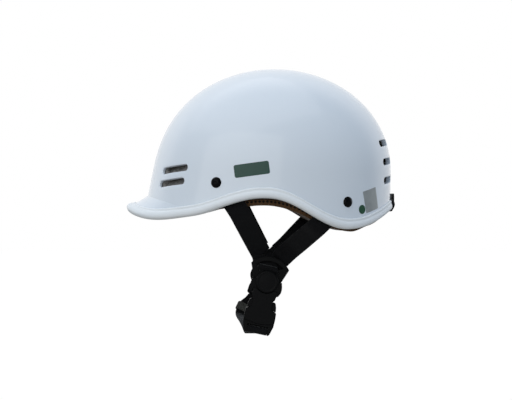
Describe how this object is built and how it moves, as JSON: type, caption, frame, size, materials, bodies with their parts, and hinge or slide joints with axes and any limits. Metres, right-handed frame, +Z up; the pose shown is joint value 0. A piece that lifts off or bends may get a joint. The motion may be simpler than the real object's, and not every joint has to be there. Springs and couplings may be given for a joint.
{
  "type": "motorcycle half helmet",
  "caption": "Glossy white half helmet with a short moulded brim, beaded rim, vent slots, foam and fabric lining, and a Y harness with a side-release buckle.",
  "frame": {"origin": "head reference point: centre of the dome's equator, inside the shell, where the head form sits", "axes": "+Z up, -Y the helmet's front with the brim, +X the wearer's left with the buckle"},
  "size_m": [0.2146, 0.2793, 0.2705],
  "materials": {
    "shell_white": "glossy",
    "trim_white": "satin",
    "foam_grey": "matte, beaded",
    "lining_brown": "perforated fabric",
    "rivet_black": "glossy",
    "zinc": "zinc plated",
    "webbing_black": "woven",
    "sleeve_grey": "knitted elastic",
    "harness_plastic": "moulded, fine grain",
    "keeper_rubber": "matte"
  },
  "bodies": {
    "helmet": {"outer_shell": "shell_white", "edge_trim": "trim_white", "foam_liner": "foam_grey", "comfort_band": "lining_brown", "crown_pad": "lining_brown", "strap_rivets": "rivet_black", "rivet_plates": "zinc", "rivet_washers": "zinc", "strap_front_left": "webbing_black", "strap_rear_left": "webbing_black", "strap_front_right": "webbing_black", "strap_rear_right": "webbing_black", "strap_ring_left": "harness_plastic", "strap_ring_right": "harness_plastic", "swivel_pin_left": "zinc", "swivel_pin_right": "zinc", "pivot_cap_left": "harness_plastic", "pivot_cap_right": "harness_plastic", "keeper_root": "keeper_rubber", "keeper_stud": "zinc"},
    "link": {"link_plate": "harness_plastic", "chin_strap": "webbing_black", "strap_keeper": "sleeve_grey"},
    "socket": {"buckle_socket": "harness_plastic"},
    "clip": {"buckle_clip": "harness_plastic"},
    "prong_front": {"prong_front": "harness_plastic"},
    "prong_rear": {"prong_rear": "harness_plastic"},
    "keeper": {"keeper_flap": "keeper_rubber", "keeper_cap": "keeper_rubber"}
  },
  "joints": [
    {"name": "link_swivel", "type": "hinge", "parent": "helmet", "child": "link", "pos_m": [-0.066, -0.008, -0.1072], "axis": [1, 0, 0], "range_deg": [-20, 20]},
    {"name": "buckle_swivel", "type": "hinge", "parent": "helmet", "child": "socket", "pos_m": [0.066, -0.008, -0.1072], "axis": [1, 0, 0], "range_deg": [-20, 20]},
    {"name": "buckle_release", "type": "slide", "parent": "link", "child": "clip", "axis": [0, -0.2079, -0.9781], "range_m": [0, 0.03], "deforming": ["chin_strap", "prong_front", "prong_rear"]},
    {"name": "prong_front_press", "type": "hinge", "parent": "clip", "child": "prong_front", "pos_m": [0.066, -0.02596, -0.14264], "axis": [-1, 0, 0], "range_deg": [0, 9], "stiffness_Nm_per_rad": 0.3},
    {"name": "prong_rear_press", "type": "hinge", "parent": "clip", "child": "prong_rear", "pos_m": [0.066, -0.00601, -0.14688], "axis": [1, 0, 0], "range_deg": [0, 9], "stiffness_Nm_per_rad": 0.3},
    {"name": "keeper_fold", "type": "hinge", "parent": "helmet", "child": "keeper", "pos_m": [0, 0.12089, -0.0406], "axis": [-1, 0, 0], "range_deg": [0, 110]}
  ],
  "couplings": [
    {"joint": "buckle_swivel", "follows": "link_swivel", "ratio": 1}
  ]
}
